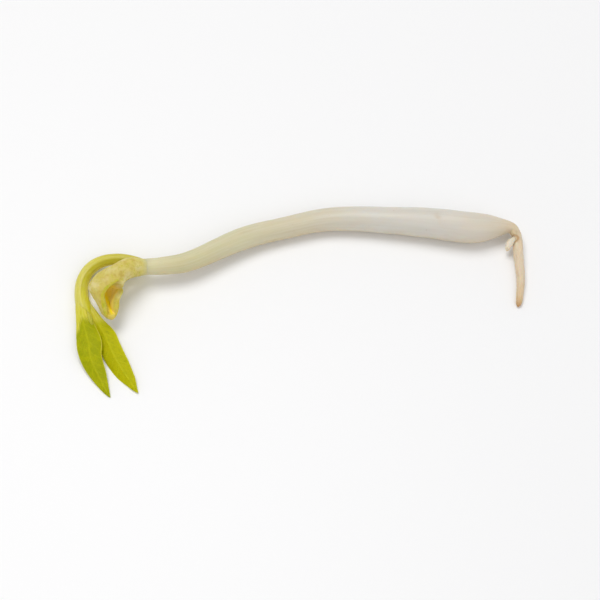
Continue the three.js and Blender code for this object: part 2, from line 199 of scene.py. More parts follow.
# ------------------------------------------------------------------------------------------------------------------
# Noise and small maths
# ------------------------------------------------------------------------------------------------------------------
class Noise:
    """Gradient noise in three dimensions, about -1 to 1, the same each run."""

    def __init__(self, seed):
        rng = np.random.default_rng(seed)
        self.perm = rng.permutation(256)
        g = rng.normal(size=(256, 3))
        self.grad = g / np.linalg.norm(g, axis=1, keepdims=True)

    def __call__(self, x, y, z):
        x, y, z = np.broadcast_arrays(np.asarray(x, float), np.asarray(y, float), np.asarray(z, float))
        c = [np.floor(v).astype(int) for v in (x, y, z)]
        f = [v - k for v, k in zip((x, y, z), c)]
        w = [v * v * v * (v * (v * 6 - 15) + 10) for v in f]
        out = np.zeros(x.shape)
        for dx in (0, 1):
            for dy in (0, 1):
                for dz in (0, 1):
                    h = self.perm[(self.perm[(self.perm[(c[0] + dx) & 255] + c[1] + dy) & 255] + c[2] + dz) & 255]
                    g = self.grad[h]
                    dot = g[..., 0] * (f[0] - dx) + g[..., 1] * (f[1] - dy) + g[..., 2] * (f[2] - dz)
                    wx = w[0] if dx else 1 - w[0]
                    wy = w[1] if dy else 1 - w[1]
                    wz = w[2] if dz else 1 - w[2]
                    out += wx * wy * wz * dot
        return out * 1.7

    def fbm(self, x, y, z, octaves=3):
        total, amp, norm = 0, 1.0, 0.0
        for k in range(octaves):
            total = total + amp * self(x * 2**k + 17.3 * k, y * 2**k - 9.1 * k, z * 2**k + 5.7 * k)
            norm += amp
            amp *= 0.5
        return total / norm


def smooth(x, lo, hi):
    t = np.clip((np.asarray(x, float) - lo) / (hi - lo), 0, 1)
    return t * t * (3 - 2 * t)


def catmull(v, t):
    v = np.asarray(v, float)
    n = len(v)
    p = np.clip(t, 0, 1) * (n - 1)
    i = np.minimum(np.floor(p).astype(int), n - 2)
    w = (p - i)[:, None]
    q = np.vstack([2 * v[0] - v[1], v, 2 * v[-1] - v[-2]])
    p0, p1, p2, p3 = q[i], q[i + 1], q[i + 2], q[i + 3]
    t0, t1 = 0.5 * (p2 - p0), 0.5 * (p3 - p1)
    return p1 + t0 * w + (3 * (p2 - p1) - 2 * t0 - t1) * w**2 + (2 * (p1 - p2) + t0 + t1) * w**3


def blur(v, sigma):
    """Smooths rows of v along axis 0, keeping its two ends where they are."""
    k = int(3 * sigma)
    x = np.exp(-0.5 * (np.arange(-k, k + 1) / sigma) ** 2)
    x /= x.sum()
    padded = np.vstack([2 * v[0] - v[k:0:-1], v, 2 * v[-1] - v[-2:-k - 2:-1]])
    return np.stack([np.convolve(padded[:, j], x, "valid") for j in range(v.shape[1])], 1)


def srgb(r, g, b):
    def f(c):
        c /= 255
        return c / 12.92 if c <= 0.04045 else ((c + 0.055) / 1.055) ** 2.4
    return (f(r), f(g), f(b), 1.0)


# ------------------------------------------------------------------------------------------------------------------
# Bodies swept along a curve
# ------------------------------------------------------------------------------------------------------------------
class Sweep:
    """Rings along a smooth curve. Each ring's points are set by place(u, v), in the plane square to the curve: u across
    and v towards the uppermost side.
    """

    def __init__(self, rows, step, around, caps=(0.3, 0.3), soften=0.0, reach=0.02):
        rows = np.asarray(rows, float)
        dense = catmull(rows, np.linspace(0, 1, 4001))
        if soften:
            per_mm = 4000 / np.linalg.norm(np.diff(dense[:, :3], axis=0), axis=1).sum()
            dense = blur(dense, soften * per_mm)
        arc = np.concatenate([[0], np.cumsum(np.linalg.norm(np.diff(dense[:, :3], axis=0), axis=1))])
        self.length = arc[-1]
        m = 9
        phi = (np.arange(1, m) / m) * math.pi / 2
        body = np.linspace(0, self.length, max(8, int(self.length / step)))
        s = np.concatenate([np.zeros(m - 1), body, np.full(m - 1, self.length)])
        self.dome = np.concatenate([np.sin(phi), np.ones(len(body)), np.sin(phi[::-1])])[:, None]
        out = np.concatenate([-caps[0] * np.cos(phi), np.zeros(len(body)), caps[1] * np.cos(phi[::-1])])
        at = lambda x: np.stack([np.interp(x, arc, dense[:, j]) for j in range(dense.shape[1])], 1)
        now = at(s)
        tangent = at(np.clip(s + reach, 0, self.length))[:, :3] - at(np.clip(s - reach, 0, self.length))[:, :3]
        tangent /= np.linalg.norm(tangent, axis=1, keepdims=True)
        up = UPPERMOST - tangent * (tangent @ UPPERMOST)[:, None]
        up /= np.linalg.norm(up, axis=1, keepdims=True)
        across = np.cross(tangent, up)
        self.rows, self.around = len(s), around
        self.middle = now[:, :3] + tangent * out[:, None]
        self.poles = (now[0, :3] - tangent[0] * caps[0], now[-1, :3] + tangent[-1] * caps[1])
        self.tangent, self.up, self.across = tangent, up, across
        self.a, self.b = now[:, 3:4], now[:, 4:5]
        self.extra = now[:, 5:]
        self.s = (s + out)[:, None]               # mm along, domes included
        self.t = (s / self.length)[:, None]
        self.frac = np.arange(around) / around
        self.theta = (self.frac * 2 * math.pi)[None, :]
        self.data = {}

    def place(self, u, v):
        u, v = u * self.dome, v * self.dome
        self.u, self.v = u, v
        self.points = self.middle[:, None, :] + self.across[:, None, :] * u[..., None] + self.up[:, None, :] * v[..., None]

    def normals(self):
        p = self.points
        du = np.roll(p, -1, 1) - np.roll(p, 1, 1)
        ds = np.gradient(p, axis=0)
        n = np.cross(du, ds)
        n /= np.maximum(np.linalg.norm(n, axis=2, keepdims=True), 1e-12)
        if np.mean(np.sum(n * (p - self.middle[:, None, :]), axis=2)) < 0:
            n = -n
        return n

    def swell(self, amount):
        """Moves every point out along the surface by amount, in mm; it fades on the domes' last ring."""
        self.points = self.points + self.normals() * (amount * np.minimum(1, self.dome * 1.2))[..., None]

    def mark(self, name, value):
        self.data[name] = np.broadcast_to(value, (self.rows, self.around)).astype(float)

    def arrays(self):
        r, a = self.rows, self.around
        verts = np.vstack([self.poles[0], self.points.reshape(-1, 3), self.poles[1]]) + SHIFT
        i = np.arange(r - 1)[:, None] * a
        j = np.arange(a)[None, :]
        k = (j + 1) % a
        quads = np.stack([i + j, i + k, i + a + k, i + a + j], -1).reshape(-1, 4) + 1
        first = np.stack([np.zeros(a, int), k[0] + 1, j[0] + 1], -1)
        base = (r - 1) * a + 1
        last = np.stack([np.full(a, r * a + 1), base + j[0], base + k[0]], -1)
        # coordinates of the corners: round the ring and along
        fr = np.append(self.frac, 1.0)
        along = self.t[:, 0]
        jj = np.broadcast_to(j, (r - 1, a))
        ii = np.broadcast_to(np.arange(r - 1)[:, None], (r - 1, a))
        uq = np.stack([fr[jj], fr[jj + 1], fr[jj + 1], fr[jj]], -1)
        vq = np.stack([along[ii], along[ii], along[ii + 1], along[ii + 1]], -1)
        uf = np.stack([(fr[:-1] + fr[1:]) / 2, fr[1:], fr[:-1]], -1)
        ul = np.stack([(fr[:-1] + fr[1:]) / 2, fr[:-1], fr[1:]], -1)
        corner = np.vstack([
            np.stack([uq, vq], -1).reshape(-1, 2),
            np.stack([uf, np.zeros_like(uf)], -1).reshape(-1, 2),
            np.stack([ul, np.ones_like(ul)], -1).reshape(-1, 2),
        ])
        faces = [tuple(q) for q in quads.tolist()] + [tuple(q) for q in first.tolist()] + [tuple(q) for q in last.tolist()]
        strand = np.stack([np.broadcast_to(np.cos(self.theta), (r, a)), np.broadcast_to(np.sin(self.theta), (r, a)), np.broadcast_to(self.s, (r, a))], -1)
        full = lambda x: np.concatenate([[x[0].mean()], x.ravel(), [x[-1].mean()]])
        data = {k2: full(v) for k2, v in self.data.items()}
        data["along"] = full(np.broadcast_to(self.t, (r, a)))
        strand = np.vstack([[0, 0, self.s[0, 0]], strand.reshape(-1, 3), [0, 0, self.s[-1, 0]]])
        return verts, faces, corner, strand, data


def volume(verts, faces):
    total = 0.0
    v = np.asarray(verts)
    tri = np.array([(f[0], f[k], f[k + 1]) for f in faces for k in range(1, len(f) - 1)])
    return np.einsum("ij,ij->i", v[tri[:, 0]], np.cross(v[tri[:, 1]], v[tri[:, 2]])).sum() / 6


def build(name, sweeps, material, node):
    """One piece from one or more swept bodies."""
    verts, faces, corners, strands, data = [], [], [], [], {}
    keys = sorted({k for s in sweeps for k in s.data} | {"along"})
    count = 0
    for s in sweeps:
        v, f, c, st, d = s.arrays()
        if volume(v, f) < 0:
            f2, c2, pos = [], [], 0
            for q in f:
                n = len(q)
                f2.append(q[::-1])
                c2.append(c[pos:pos + n][::-1])
                pos += n
            f, c = f2, np.vstack(c2)
        faces += [tuple(i + count for i in q) for q in f]
        verts.append(v)
        corners.append(c)
        strands.append(st)
        for k in keys:
            data.setdefault(k, []).append(d.get(k, np.zeros(len(v))))
        count += len(v)
    mesh = bpy.data.meshes.new(name)
    mesh.from_pydata((np.vstack(verts) * MM).tolist(), [], faces)
    uv = mesh.uv_layers.new(name="skin")
    uv.data.foreach_set("uv", np.vstack(corners).astype(np.float32).ravel())
    at = mesh.attributes.new("strand", "FLOAT_VECTOR", "POINT")
    at.data.foreach_set("vector", np.vstack(strands).astype(np.float32).ravel())
    for k in keys:
        at = mesh.attributes.new(k, "FLOAT", "POINT")
        at.data.foreach_set("value", np.concatenate(data[k]).astype(np.float32))
    mesh.polygons.foreach_set("use_smooth", np.ones(len(mesh.polygons), bool))
    mesh.validate()
    mesh.update()
    piece = bpy.data.objects.new(name, mesh)
    bpy.context.scene.collection.objects.link(piece)
    mesh.materials.append(material)
    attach(piece, "root")
    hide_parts(node)
    return piece


# ------------------------------------------------------------------------------------------------------------------
# Materials
# ------------------------------------------------------------------------------------------------------------------
class Skin:
    """A node material for plant tissue, with short calls for its nodes."""

    def __init__(self, name, **sockets):
        self.material = bpy.data.materials.new(name)
        self.material.use_nodes = True
        self.tree = self.material.node_tree
        self.tree.nodes.clear()
        self.out = self.tree.nodes.new("ShaderNodeOutputMaterial")
        self.shader = self.tree.nodes.new("ShaderNodeBsdfPrincipled")
        self.tree.links.new(self.shader.outputs[0], self.out.inputs["Surface"])
        for k, v in sockets.items():
            self.shader.inputs[k.replace("_", " ")].default_value = v

    def link(self, value, socket):
        if isinstance(value, bpy.types.NodeSocket):
            self.tree.links.new(value, socket)
        else:
            socket.default_value = value

    def attribute(self, name, output="Fac"):
        n = self.tree.nodes.new("ShaderNodeAttribute")
        n.attribute_name = name
        return n.outputs[output]

    def maths(self, op, a, b=0.0, clamp=False):
        n = self.tree.nodes.new("ShaderNodeMath")
        n.operation = op
        n.use_clamp = clamp
        self.link(a, n.inputs[0])
        self.link(b, n.inputs[1])
        return n.outputs[0]

    def stretch(self, vector, x, y, z):
        n = self.tree.nodes.new("ShaderNodeVectorMath")
        n.operation = "MULTIPLY"
        self.link(vector, n.inputs[0])
        n.inputs[1].default_value = (x, y, z)
        return n.outputs[0]

    def noise(self, vector, scale=1.0, detail=3.0, rough=0.5, distortion=0.0):
        n = self.tree.nodes.new("ShaderNodeTexNoise")
        self.link(vector, n.inputs["Vector"])
        n.inputs["Scale"].default_value = scale
        n.inputs["Detail"].default_value = detail
        n.inputs["Roughness"].default_value = rough
        n.inputs["Distortion"].default_value = distortion
        return n.outputs["Fac"]

    def cells(self, vector, scale=1.0, feature="F1", output="Distance", smoothness=None, randomness=1.0):
        n = self.tree.nodes.new("ShaderNodeTexVoronoi")
        n.feature = feature
        self.link(vector, n.inputs["Vector"])
        n.inputs["Scale"].default_value = scale
        n.inputs["Randomness"].default_value = randomness
        return n.outputs[output]

    def ramp(self, fac, stops, interpolation="LINEAR"):
        n = self.tree.nodes.new("ShaderNodeValToRGB")
        n.color_ramp.interpolation = interpolation
        e = n.color_ramp.elements
        while len(e) > 1:
            e.remove(e[0])
        e[0].position, e[0].color = stops[0]
        for pos, col in stops[1:]:
            k = e.new(pos)
            k.color = col
        self.link(fac, n.inputs[0])
        return n.outputs[0]

    def grade(self, fac, lo, hi, a=0.0, b=1.0):
        """fac from lo..hi to a..b, clamped."""
        n = self.tree.nodes.new("ShaderNodeMapRange")
        n.clamp = True
        self.link(fac, n.inputs["Value"])
        for k, v in (("From Min", lo), ("From Max", hi), ("To Min", a), ("To Max", b)):
            n.inputs[k].default_value = v
        return n.outputs[0]

    def mix(self, fac, a, b, blend="MIX"):
        n = self.tree.nodes.new("ShaderNodeMix")
        n.data_type = "RGBA"
        n.blend_type = blend
        n.clamp_factor = True
        self.link(fac, n.inputs["Factor"])
        self.link(a, n.inputs[6])
        self.link(b, n.inputs[7])
        return n.outputs[2]

    def bump(self, height, distance, strength=1.0, normal=None):
        n = self.tree.nodes.new("ShaderNodeBump")
        n.inputs["Strength"].default_value = strength
        n.inputs["Distance"].default_value = distance
        self.link(height, n.inputs["Height"])
        if normal is not None:
            self.tree.links.new(normal, n.inputs["Normal"])
        return n.outputs[0]

    def set(self, **sockets):
        for k, v in sockets.items():
            self.link(v, self.shader.inputs[k.replace("_", " ")])
        return self.material


TISSUE = dict(IOR=1.38, Subsurface_Weight=0.55, Subsurface_Scale=0.001, Subsurface_Anisotropy=0.2)


def stem_skin():
    m = Skin("stem_flesh", **TISSUE, Coat_Weight=0.18, Coat_Roughness=0.16, Coat_IOR=1.36)
    m.shader.inputs["Subsurface Radius"].default_value = (1.5, 1.05, 0.7)
    strand, along = m.attribute("strand", "Vector"), m.attribute("along")
    tone = m.ramp(along, [
        (0.0, srgb(214, 206, 150)), (0.04, srgb(216, 210, 166)), (0.10, srgb(207, 201, 155)), (0.26, srgb(211, 206, 170)),
        (0.36, srgb(211, 203, 172)), (0.45, srgb(212, 204, 180)), (0.62, srgb(215, 212, 203)), (0.80, srgb(216, 211, 201)), (0.88, srgb(217, 209, 194)), (0.94, srgb(218, 204, 179)), (1.0, srgb(217, 192, 150)),
    ])
    # long pale and watery streaks that run with the vessels
    streak = m.noise(m.stretch(strand, 5.5, 5.5, 0.10), 1.0, 3, 0.6)
    fine = m.noise(m.stretch(strand, 22, 22, 0.35), 1.0, 2, 0.5)
    tone = m.mix(m.grade(streak, 0.38, 0.66, 0.0, 0.40), tone, m.mix(0.5, tone, srgb(232, 230, 222)))
    tone = m.mix(m.grade(fine, 0.45, 0.72, 0.0, 0.14), tone, m.mix(0.5, tone, srgb(190, 182, 156)))
    # cloudy change of tone, then a painted warm shade with painted bounce light on the lower side
    cloud = m.noise(m.stretch(strand, 1.3, 1.3, 0.16), 1.0, 4, 0.55)
    tone = m.mix(m.grade(cloud, 0.50, 0.75, 0.0, 0.26), tone, m.mix(0.5, tone, srgb(214, 194, 152)))
    # painted shade and painted reflection: the lower side is made warmer and darker, as warm bounced light and shade
    # would colour an underside
    tone = m.mix(m.attribute("under"), tone, m.mix(0.60, tone, srgb(208, 184, 136)))
    # bruises and tiny scuffs
    tone = m.mix(m.attribute("bruise"), tone, srgb(190, 158, 104))
    specks = m.cells(m.stretch(strand, 3.2, 3.2, 1.15), 1.0)
    speck = m.maths("MULTIPLY", m.grade(specks, 0.055, 0.10, 1.0, 0.0), m.grade(m.noise(strand, 0.7, 2), 0.5, 0.62))
    tone = m.mix(m.maths("MULTIPLY", speck, 0.5), tone, srgb(176, 140, 88))
    tone = m.mix(m.attribute("collar"), tone, srgb(205, 178, 126))
    height = m.maths("ADD", m.maths("MULTIPLY", fine, 0.8), m.noise(m.stretch(strand, 46, 46, 1.6), 1.0, 2))
    rough = m.grade(m.noise(m.stretch(strand, 4, 4, 0.5), 1.0, 3), 0.3, 0.7, 0.27, 0.42)
    return m.set(Base_Color=tone, Roughness=rough, Normal=m.bump(height, 0.00002, 0.55))


def root_skin():
    m = Skin("root_skin", **{**TISSUE, "Subsurface_Weight": 0.4}, Coat_Weight=0.08, Coat_Roughness=0.3)
    m.shader.inputs["Subsurface Radius"].default_value = (1.2, 0.7, 0.4)
    strand, along = m.attribute("strand", "Vector"), m.attribute("along")
    tone = m.ramp(along, [
        (0.0, srgb(215, 195, 158)), (0.14, srgb(220, 202, 170)), (0.35, srgb(224, 209, 183)), (0.7, srgb(223, 205, 177)),
        (0.88, srgb(218, 196, 162)), (0.955, srgb(206, 174, 130)), (1.0, srgb(182, 140, 96)),
    ])
    grain = m.noise(m.stretch(strand, 9, 9, 1.2), 1.0, 4, 0.6)
    tone = m.mix(m.grade(grain, 0.45, 0.75, 0.0, 0.30), tone, srgb(202, 170, 122))
    tone = m.mix(m.grade(m.noise(m.stretch(strand, 2, 2, 1.0), 1.0, 3), 0.55, 0.72, 0.0, 0.32), tone, srgb(194, 156, 104))
    tone = m.mix(m.attribute("rim"), tone, srgb(178, 134, 80))
    height = m.maths("ADD", grain, m.noise(m.stretch(strand, 5, 5, 9), 1.0, 3))
    return m.set(Base_Color=tone, Roughness=m.grade(grain, 0.3, 0.7, 0.42, 0.58), Normal=m.bump(height, 0.00003, 0.5))


def rootlet_skin():
    m = Skin("rootlet_skin", **TISSUE, Coat_Weight=0.1, Coat_Roughness=0.25)
    m.shader.inputs["Subsurface Radius"].default_value = (1.2, 0.9, 0.6)
    strand, along = m.attribute("strand", "Vector"), m.attribute("along")
    tone = m.ramp(along, [(0.0, srgb(214, 190, 146)), (0.3, srgb(228, 216, 196)), (0.8, srgb(230, 220, 204)), (1.0, srgb(216, 196, 162))])
    grain = m.noise(m.stretch(strand, 6, 6, 2.5), 1.0, 3)
    tone = m.mix(m.grade(grain, 0.5, 0.75, 0.0, 0.35), tone, srgb(204, 176, 130))
    return m.set(Base_Color=tone, Roughness=m.grade(grain, 0.3, 0.7, 0.36, 0.5), Normal=m.bump(grain, 0.00003, 0.5))


def shoot_skin():
    m = Skin("shoot_skin", **{**TISSUE, "Subsurface_Weight": 0.4}, Coat_Weight=0.12, Coat_Roughness=0.22)
    m.shader.inputs["Subsurface Radius"].default_value = (1.0, 0.9, 0.25)
    strand, along = m.attribute("strand", "Vector"), m.attribute("along")
    tone = m.ramp(along, [(0.0, srgb(212, 201, 98)), (0.12, srgb(204, 192, 66)), (0.24, srgb(202, 191, 60)), (0.5, srgb(210, 202, 38)), (0.85, srgb(212, 205, 38)), (1.0, srgb(204, 200, 34))])
    tone = m.mix(m.attribute("ridge"), tone, srgb(226, 217, 114))
    # a lighter base colour inside the bend, which offsets the shade that falls there
    tone = m.mix(m.attribute("inner"), tone, srgb(238, 226, 92))
    grain = m.noise(m.stretch(strand, 8, 8, 0.5), 1.0, 3, 0.6)
    tone = m.mix(m.grade(grain, 0.42, 0.7, 0.0, 0.45), tone, m.mix(0.6, tone, srgb(186, 180, 22)))
    patch = m.noise(m.stretch(strand, 1.5, 1.5, 0.5), 1.0, 3)
    tone = m.mix(m.grade(patch, 0.54, 0.7, 0.0, 0.35), tone, srgb(216, 203, 108))
    dash = m.noise(m.stretch(strand, 14, 14, 2.2), 1.0, 2, 0.5)
    tone = m.mix(m.grade(dash, 0.60, 0.72, 0.0, 0.45), tone, srgb(184, 180, 36))
    tone = m.mix(m.grade(dash, 0.26, 0.38, 0.35, 0.0), tone, srgb(228, 218, 130))
    height = m.maths("ADD", grain, m.maths("MULTIPLY", m.noise(m.stretch(strand, 26, 26, 2.2), 1.0, 2), 0.6))
    return m.set(Base_Color=tone, Roughness=m.grade(grain, 0.3, 0.7, 0.32, 0.46), Normal=m.bump(height, 0.00002, 0.45))


def seed_leaf_skin():
    m = Skin("seed_leaf", **{**TISSUE, "Subsurface_Weight": 0.4}, Specular_IOR_Level=0.36)
    m.shader.inputs["Subsurface Radius"].default_value = (1.1, 0.8, 0.25)
    place = m.tree.nodes.new("ShaderNodeTexCoord").outputs["Object"]
    strand, along = m.attribute("strand", "Vector"), m.attribute("along")
    mottle = m.noise(place, 1500, 4, 0.6)
    patches = m.noise(place, 700, 3)
    # pale where it leaves the stem, then straw yellow
    edge = m.maths("ADD", along, m.grade(patches, 0.3, 0.7, -0.03, 0.03))
    tone = m.ramp(edge, [(0.0, srgb(213, 207, 156)), (0.15, srgb(213, 205, 146)), (0.215, srgb(216, 203, 112)), (0.5, srgb(214, 198, 106)), (1.0, srgb(211, 196, 94))])
    marked = m.grade(edge, 0.13, 0.26)
    tone = m.mix(m.maths("MULTIPLY", marked, m.grade(mottle, 0.44, 0.64, 0.0, 0.70)), tone, srgb(198, 172, 78))
    tone = m.mix(m.grade(patches, 0.50, 0.66, 0.0, 0.60), tone, srgb(231, 220, 162))
    # green left from the seed, in specks, most of them towards the base
    green = m.maths("MULTIPLY", m.grade(m.noise(place, 2300, 2, 0.6), 0.56, 0.68), m.grade(along, 0.25, 0.75, 0.75, 0.25))
    green = m.maths("MULTIPLY", green, marked)
    tone = m.mix(green, tone, srgb(196, 190, 48))
    dots = m.cells(place, 3200)
    tone = m.mix(m.maths("MULTIPLY", marked, m.grade(dots, 0.08, 0.20, 0.34, 0.0)), tone, srgb(176, 150, 64))
    # painted light: the hollow's inner face gets base colours brighter than the tissue, to offset the shade that falls
    # in the hollow
    inside = m.mix(m.grade(m.noise(m.stretch(strand, 7, 7, 0.8), 1.0, 3), 0.35, 0.7), srgb(246, 216, 116), srgb(244, 206, 84))
    inside = m.mix(m.grade(m.noise(place, 2600, 2, 0.6), 0.55, 0.68, 0.0, 0.8), inside, srgb(208, 200, 60))
    # painted light: the strip along the crease, where the deepest shade under the near rim falls, gets a brighter, more
    # saturated yellow than the tissue, so the shade there reads orange-gold rather than brown
    inside = m.mix(m.maths("MULTIPLY", m.attribute("crease"), 0.95), inside, srgb(255, 231, 12))
    tone = m.mix(m.attribute("hollow"), tone, inside)
    tone = m.mix(m.attribute("lip"), tone, srgb(200, 192, 34))
    rim_specks = m.grade(m.noise(place, 2800, 3, 0.6), 0.46, 0.66, 0.0, 0.60)
    tone = m.mix(m.maths("MULTIPLY", m.grade(m.attribute("lip"), 0.05, 0.35), rim_specks), tone, srgb(172, 182, 20))
    height = m.maths("ADD", mottle, m.maths("MULTIPLY", dots, 0.6))
    return m.set(Base_Color=tone, Roughness=m.grade(mottle, 0.3, 0.7, 0.42, 0.58), Normal=m.bump(height, 0.00004, 0.5))


def leaf_skin():
    m = Skin("leaf_blade", **{**TISSUE, "Subsurface_Weight": 0.3}, Specular_IOR_Level=0.16)
    m.shader.inputs["Subsurface Radius"].default_value = (0.6, 0.8, 0.1)
    place = m.tree.nodes.new("ShaderNodeTexCoord").outputs["Object"]
    blade = m.attribute("blade")
    strand = m.attribute("strand", "Vector")
    streaks = m.noise(m.stretch(strand, 9, 9, 0.7), 1.0, 3, 0.6)
    stalk = m.mix(m.grade(streaks, 0.36, 0.66), srgb(222, 214, 92), srgb(204, 196, 32))
    base = m.mix(m.grade(streaks, 0.36, 0.66), srgb(228, 219, 124), srgb(212, 202, 74))
    stalk = m.mix(m.grade(m.attribute("along"), 0.03, 0.17), base, stalk)
    green = m.mix(m.grade(m.noise(place, 900, 3), 0.4, 0.65), srgb(160, 164, 0), srgb(174, 175, 1))
    green = m.mix(m.maths("MULTIPLY", m.attribute("tint"), 0.8), green, srgb(190, 185, 0))
    green = m.mix(m.grade(m.cells(place, 4200, "DISTANCE_TO_EDGE"), 0.0, 0.10, 0.30, 0.0), green, srgb(186, 188, 12))
    green = m.mix(m.grade(m.noise(place, 2600, 3), 0.55, 0.75, 0.0, 0.5), green, srgb(146, 154, 0))
    green = m.mix(m.attribute("vein"), green, srgb(200, 198, 30))
    tone = m.mix(blade, stalk, green)
    tone = m.mix(m.attribute("margin"), tone, srgb(216, 207, 74))
    height = m.maths("ADD", m.noise(place, 5200, 2), m.maths("MULTIPLY", m.cells(place, 4200, "DISTANCE_TO_EDGE"), 1.2))
    return m.set(Base_Color=tone, Roughness=m.grade(m.noise(place, 1800, 3), 0.3, 0.7, 0.46, 0.60), Normal=m.bump(height, 0.00004, 0.5))


def bud_skin():
    m = Skin("bud_scale", **{**TISSUE, "Subsurface_Weight": 0.3})
    m.shader.inputs["Subsurface Radius"].default_value = (0.6, 0.7, 0.15)
    strand, along = m.attribute("strand", "Vector"), m.attribute("along")
    tone = m.ramp(along, [(0.0, srgb(202, 194, 70)), (0.6, srgb(184, 182, 36)), (1.0, srgb(168, 168, 20))])
    tone = m.mix(m.grade(m.noise(m.stretch(strand, 6, 6, 3), 1.0, 3), 0.4, 0.7, 0.0, 0.5), tone, srgb(212, 206, 110))
    return m.set(Base_Color=tone, Roughness=0.45, Normal=m.bump(m.noise(m.stretch(strand, 16, 16, 8), 1.0, 3), 0.00003, 0.6))


# ------------------------------------------------------------------------------------------------------------------
# Organs
# ------------------------------------------------------------------------------------------------------------------
def make_stem():
    n = Noise(11)
    w = Sweep(HYPOCOTYL, 0.13, 112, caps=(0.40, 0.35), soften=0.5)
    c, s_, s, t = np.cos(w.theta), np.sin(w.theta), w.s, w.t
    swell = 0.016 * n(c * 1.1, s_ * 1.1, s * 0.12) + 0.012 * n(c * 0.5 + 9, s_ * 0.5, s * 0.35)
    ridges = 0.006 * np.cos(5 * w.theta + 1.4 * np.sin(0.16 * s)) + 0.004 * np.cos(9 * w.theta - 0.9 * np.sin(0.11 * s + 1))
    w.place(w.a * c * (1 + swell), w.b * s_ * (1 + swell))
    strands = 0.004 * n(c * 9, s_ * 9, s * 0.22) + 0.002 * n(c * 20 + 4, s_ * 20, s * 0.5)
    # fine cross wrinkles where the stem narrows to the root, and a slight ring at the node
    root_end = smooth(t, 0.925, 1.0)
    wrinkle = root_end * 0.028 * n(c * 1.6, s_ * 1.6, s * 5.2) * (1 - 0.4 * smooth(t, 0.985, 1.0))
    node_end = -np.exp(-((s - 2.4) / 0.5) ** 2) * 0.02
    bends = np.exp(-((s - 8.2) / 1.6) ** 2) * smooth(-s_, 0.2, 0.9) * 0.010 * np.sin(s * 7.5 + 2 * n(c * 2, s_ * 2, s))
    # shallow dents and scuffs from handling
    dents = np.zeros((w.rows, w.around))
    bruise = np.zeros((w.rows, w.around))
    rng = np.random.default_rng(5)
    for k in range(9):
        at, turn = rng.uniform(4, w.length - 3), rng.uniform(0, 2 * math.pi)
        long_, wide, deep = rng.uniform(0.5, 1.6), rng.uniform(0.14, 0.32), rng.uniform(0.02, 0.05)
        d = np.angle(np.exp(1j * (w.theta - turn)))
        g = np.exp(-((s - at) / long_) ** 2 - (d / wide) ** 2)
        dents -= deep * g
        bruise += g * rng.uniform(0.05, 0.35) * (0.6 + 0.8 * n(c * 6, s_ * 6, s * 1.2))
    w.swell(ridges * w.a + strands + wrinkle + node_end + bends + dents)
    w.mark("bruise", np.clip(bruise, 0, 0.5))
    # mask for the painted warm shade and painted bounce light on the lower side of the stem
    w.mark("under", smooth(0.8 * c - 0.6 * s_ + 0.25 * n(c, s_, s * 0.2), -0.1, 1.2))
    w.mark("collar", 0.55 * smooth(t + 0.015 * n(c * 2, s_ * 2, s * 2), 0.965, 1.0) + 0.35 * root_end * smooth(n(c * 3, s_ * 3, s * 3.2), 0.1, 0.6))
    return build("hypocotyl_skin", [w], stem_skin(), "hypocotyl")


def make_root():
    n = Noise(23)
    w = Sweep(TAPROOT, 0.07, 56, caps=(0.30, 0.05), reach=0.45)
    c, s_, s, t = np.cos(w.theta), np.sin(w.theta), w.s, w.t
    lumps = 1 + 0.07 * n(c * 0.5, s_ * 0.5, s * 1.0) + 0.03 * n(c + 7, s_, s * 2.4)
    w.place(w.a * c * lumps, w.b * s_ * lumps)
    skin = 0.018 * np.cos(6 * w.theta + 2 * n(c, s_, s * 0.5)) + 0.016 * n(c * 3.2, s_ * 3.2, s * 1.2) + 0.012 * n(c * 2, s_ * 2, s * 7)
    # the torn ring that the side root has broken through
    side = np.array(ROOTLET[0][:3]) * 0.35 + np.array(ROOTLET[1][:3]) * 0.65
    d = np.linalg.norm(w.points - side, axis=2)
    lip = np.exp(-((d - 0.50) / 0.12) ** 2)
    w.swell(skin * np.minimum(1, w.a / 0.4) + 0.07 * lip * (1 + 0.4 * n(c * 4, s_ * 4, s * 6)))
    w.mark("rim", np.clip(lip * 0.8, 0, 1))
    return build("taproot_skin", [w], root_skin(), "taproot")


def make_rootlet():
    n = Noise(31)
    w = Sweep(ROOTLET, 0.04, 40, caps=(0.10, 0.04))
    c, s_, s = np.cos(w.theta), np.sin(w.theta), w.s
    lumps = 1 + 0.05 * n(c * 0.7, s_ * 0.7, s * 2.2)
    w.place(w.a * c * lumps, w.b * s_ * lumps)
    w.swell(0.012 * n(c * 3, s_ * 3, s * 3) + 0.006 * np.cos(7 * w.theta))
    return build("side_rootlet_skin", [w], rootlet_skin(), "side_rootlet")


